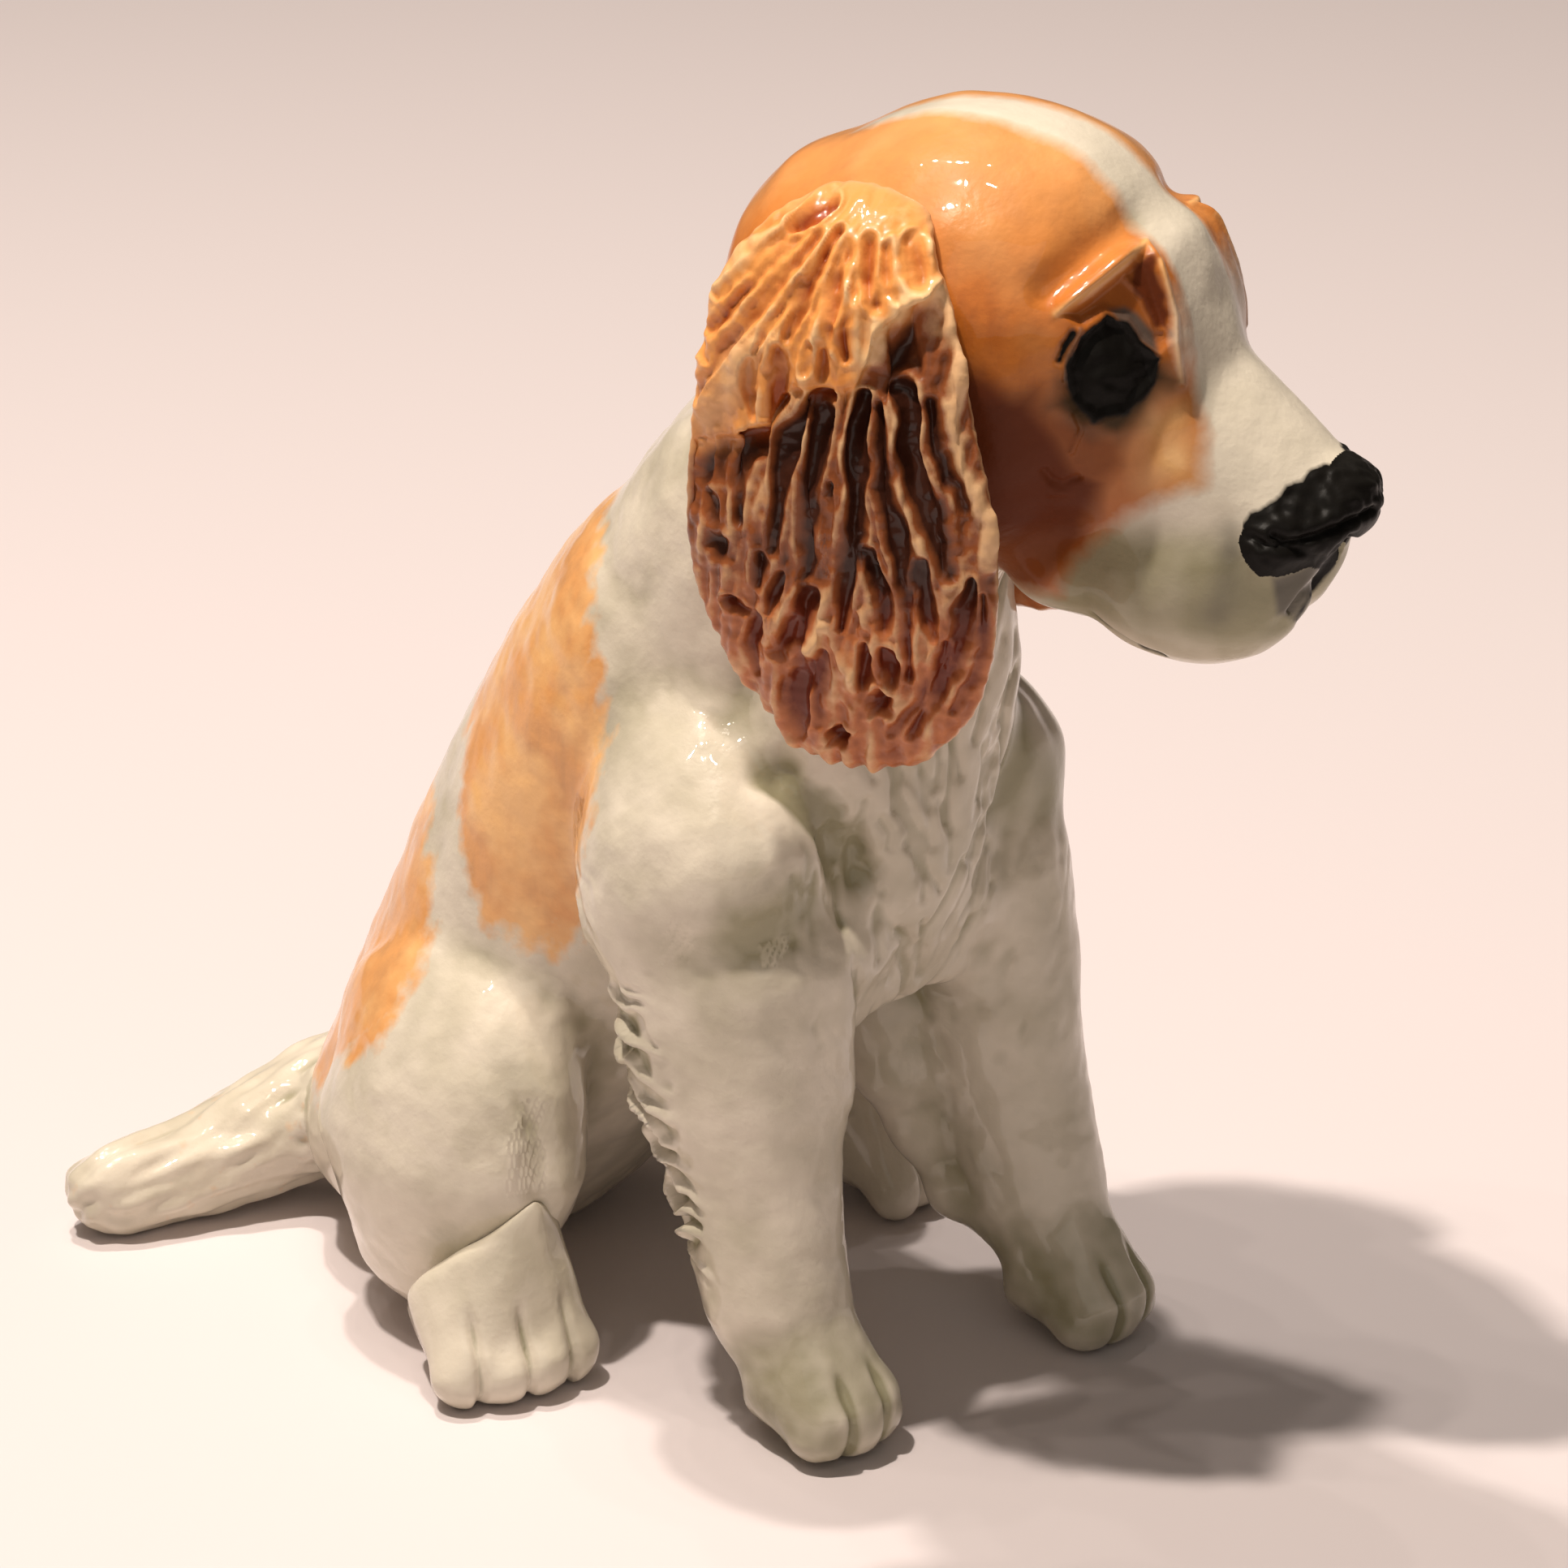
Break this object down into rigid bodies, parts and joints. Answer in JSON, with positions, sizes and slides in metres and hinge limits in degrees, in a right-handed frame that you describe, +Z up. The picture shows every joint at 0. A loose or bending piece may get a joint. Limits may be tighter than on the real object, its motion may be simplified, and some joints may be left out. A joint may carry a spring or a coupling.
{
  "type": "ceramic dog figurine",
  "caption": "Hand-built glazed ceramic spaniel sitting upright, long carved ears, white coat with orange patches, head turned to its left; a shelf ornament.",
  "frame": {"origin": "on the table, in the middle of the flat seat under the rump", "axes": "+Z up; -Y the way the dog's body faces; +X the dog's left"},
  "size_m": [0.0902, 0.1522, 0.1527],
  "materials": {
    "white_glaze": "glossy",
    "tan_glaze": "glossy",
    "black_glaze": "glossy"
  },
  "bodies": {
    "root": {"torso": "white_glaze", "neck": "white_glaze", "chest_fur": "white_glaze", "right_shoulder": "white_glaze", "left_shoulder": "white_glaze", "right_foreleg": "white_glaze", "left_foreleg": "white_glaze", "right_front_paw": "white_glaze", "left_front_paw": "white_glaze", "right_thigh": "white_glaze", "left_thigh": "white_glaze", "right_hind_foot": "white_glaze", "left_hind_foot": "white_glaze", "tail": "white_glaze", "muzzle": "white_glaze", "right_flew": "white_glaze", "left_flew": "white_glaze", "jaw": "white_glaze", "skull": "tan_glaze", "right_eyelid": "tan_glaze", "left_eyelid": "tan_glaze", "right_ear": "tan_glaze", "left_ear": "tan_glaze", "nose": "black_glaze", "right_eye": "black_glaze", "left_eye": "black_glaze"}
  },
  "joints": []
}
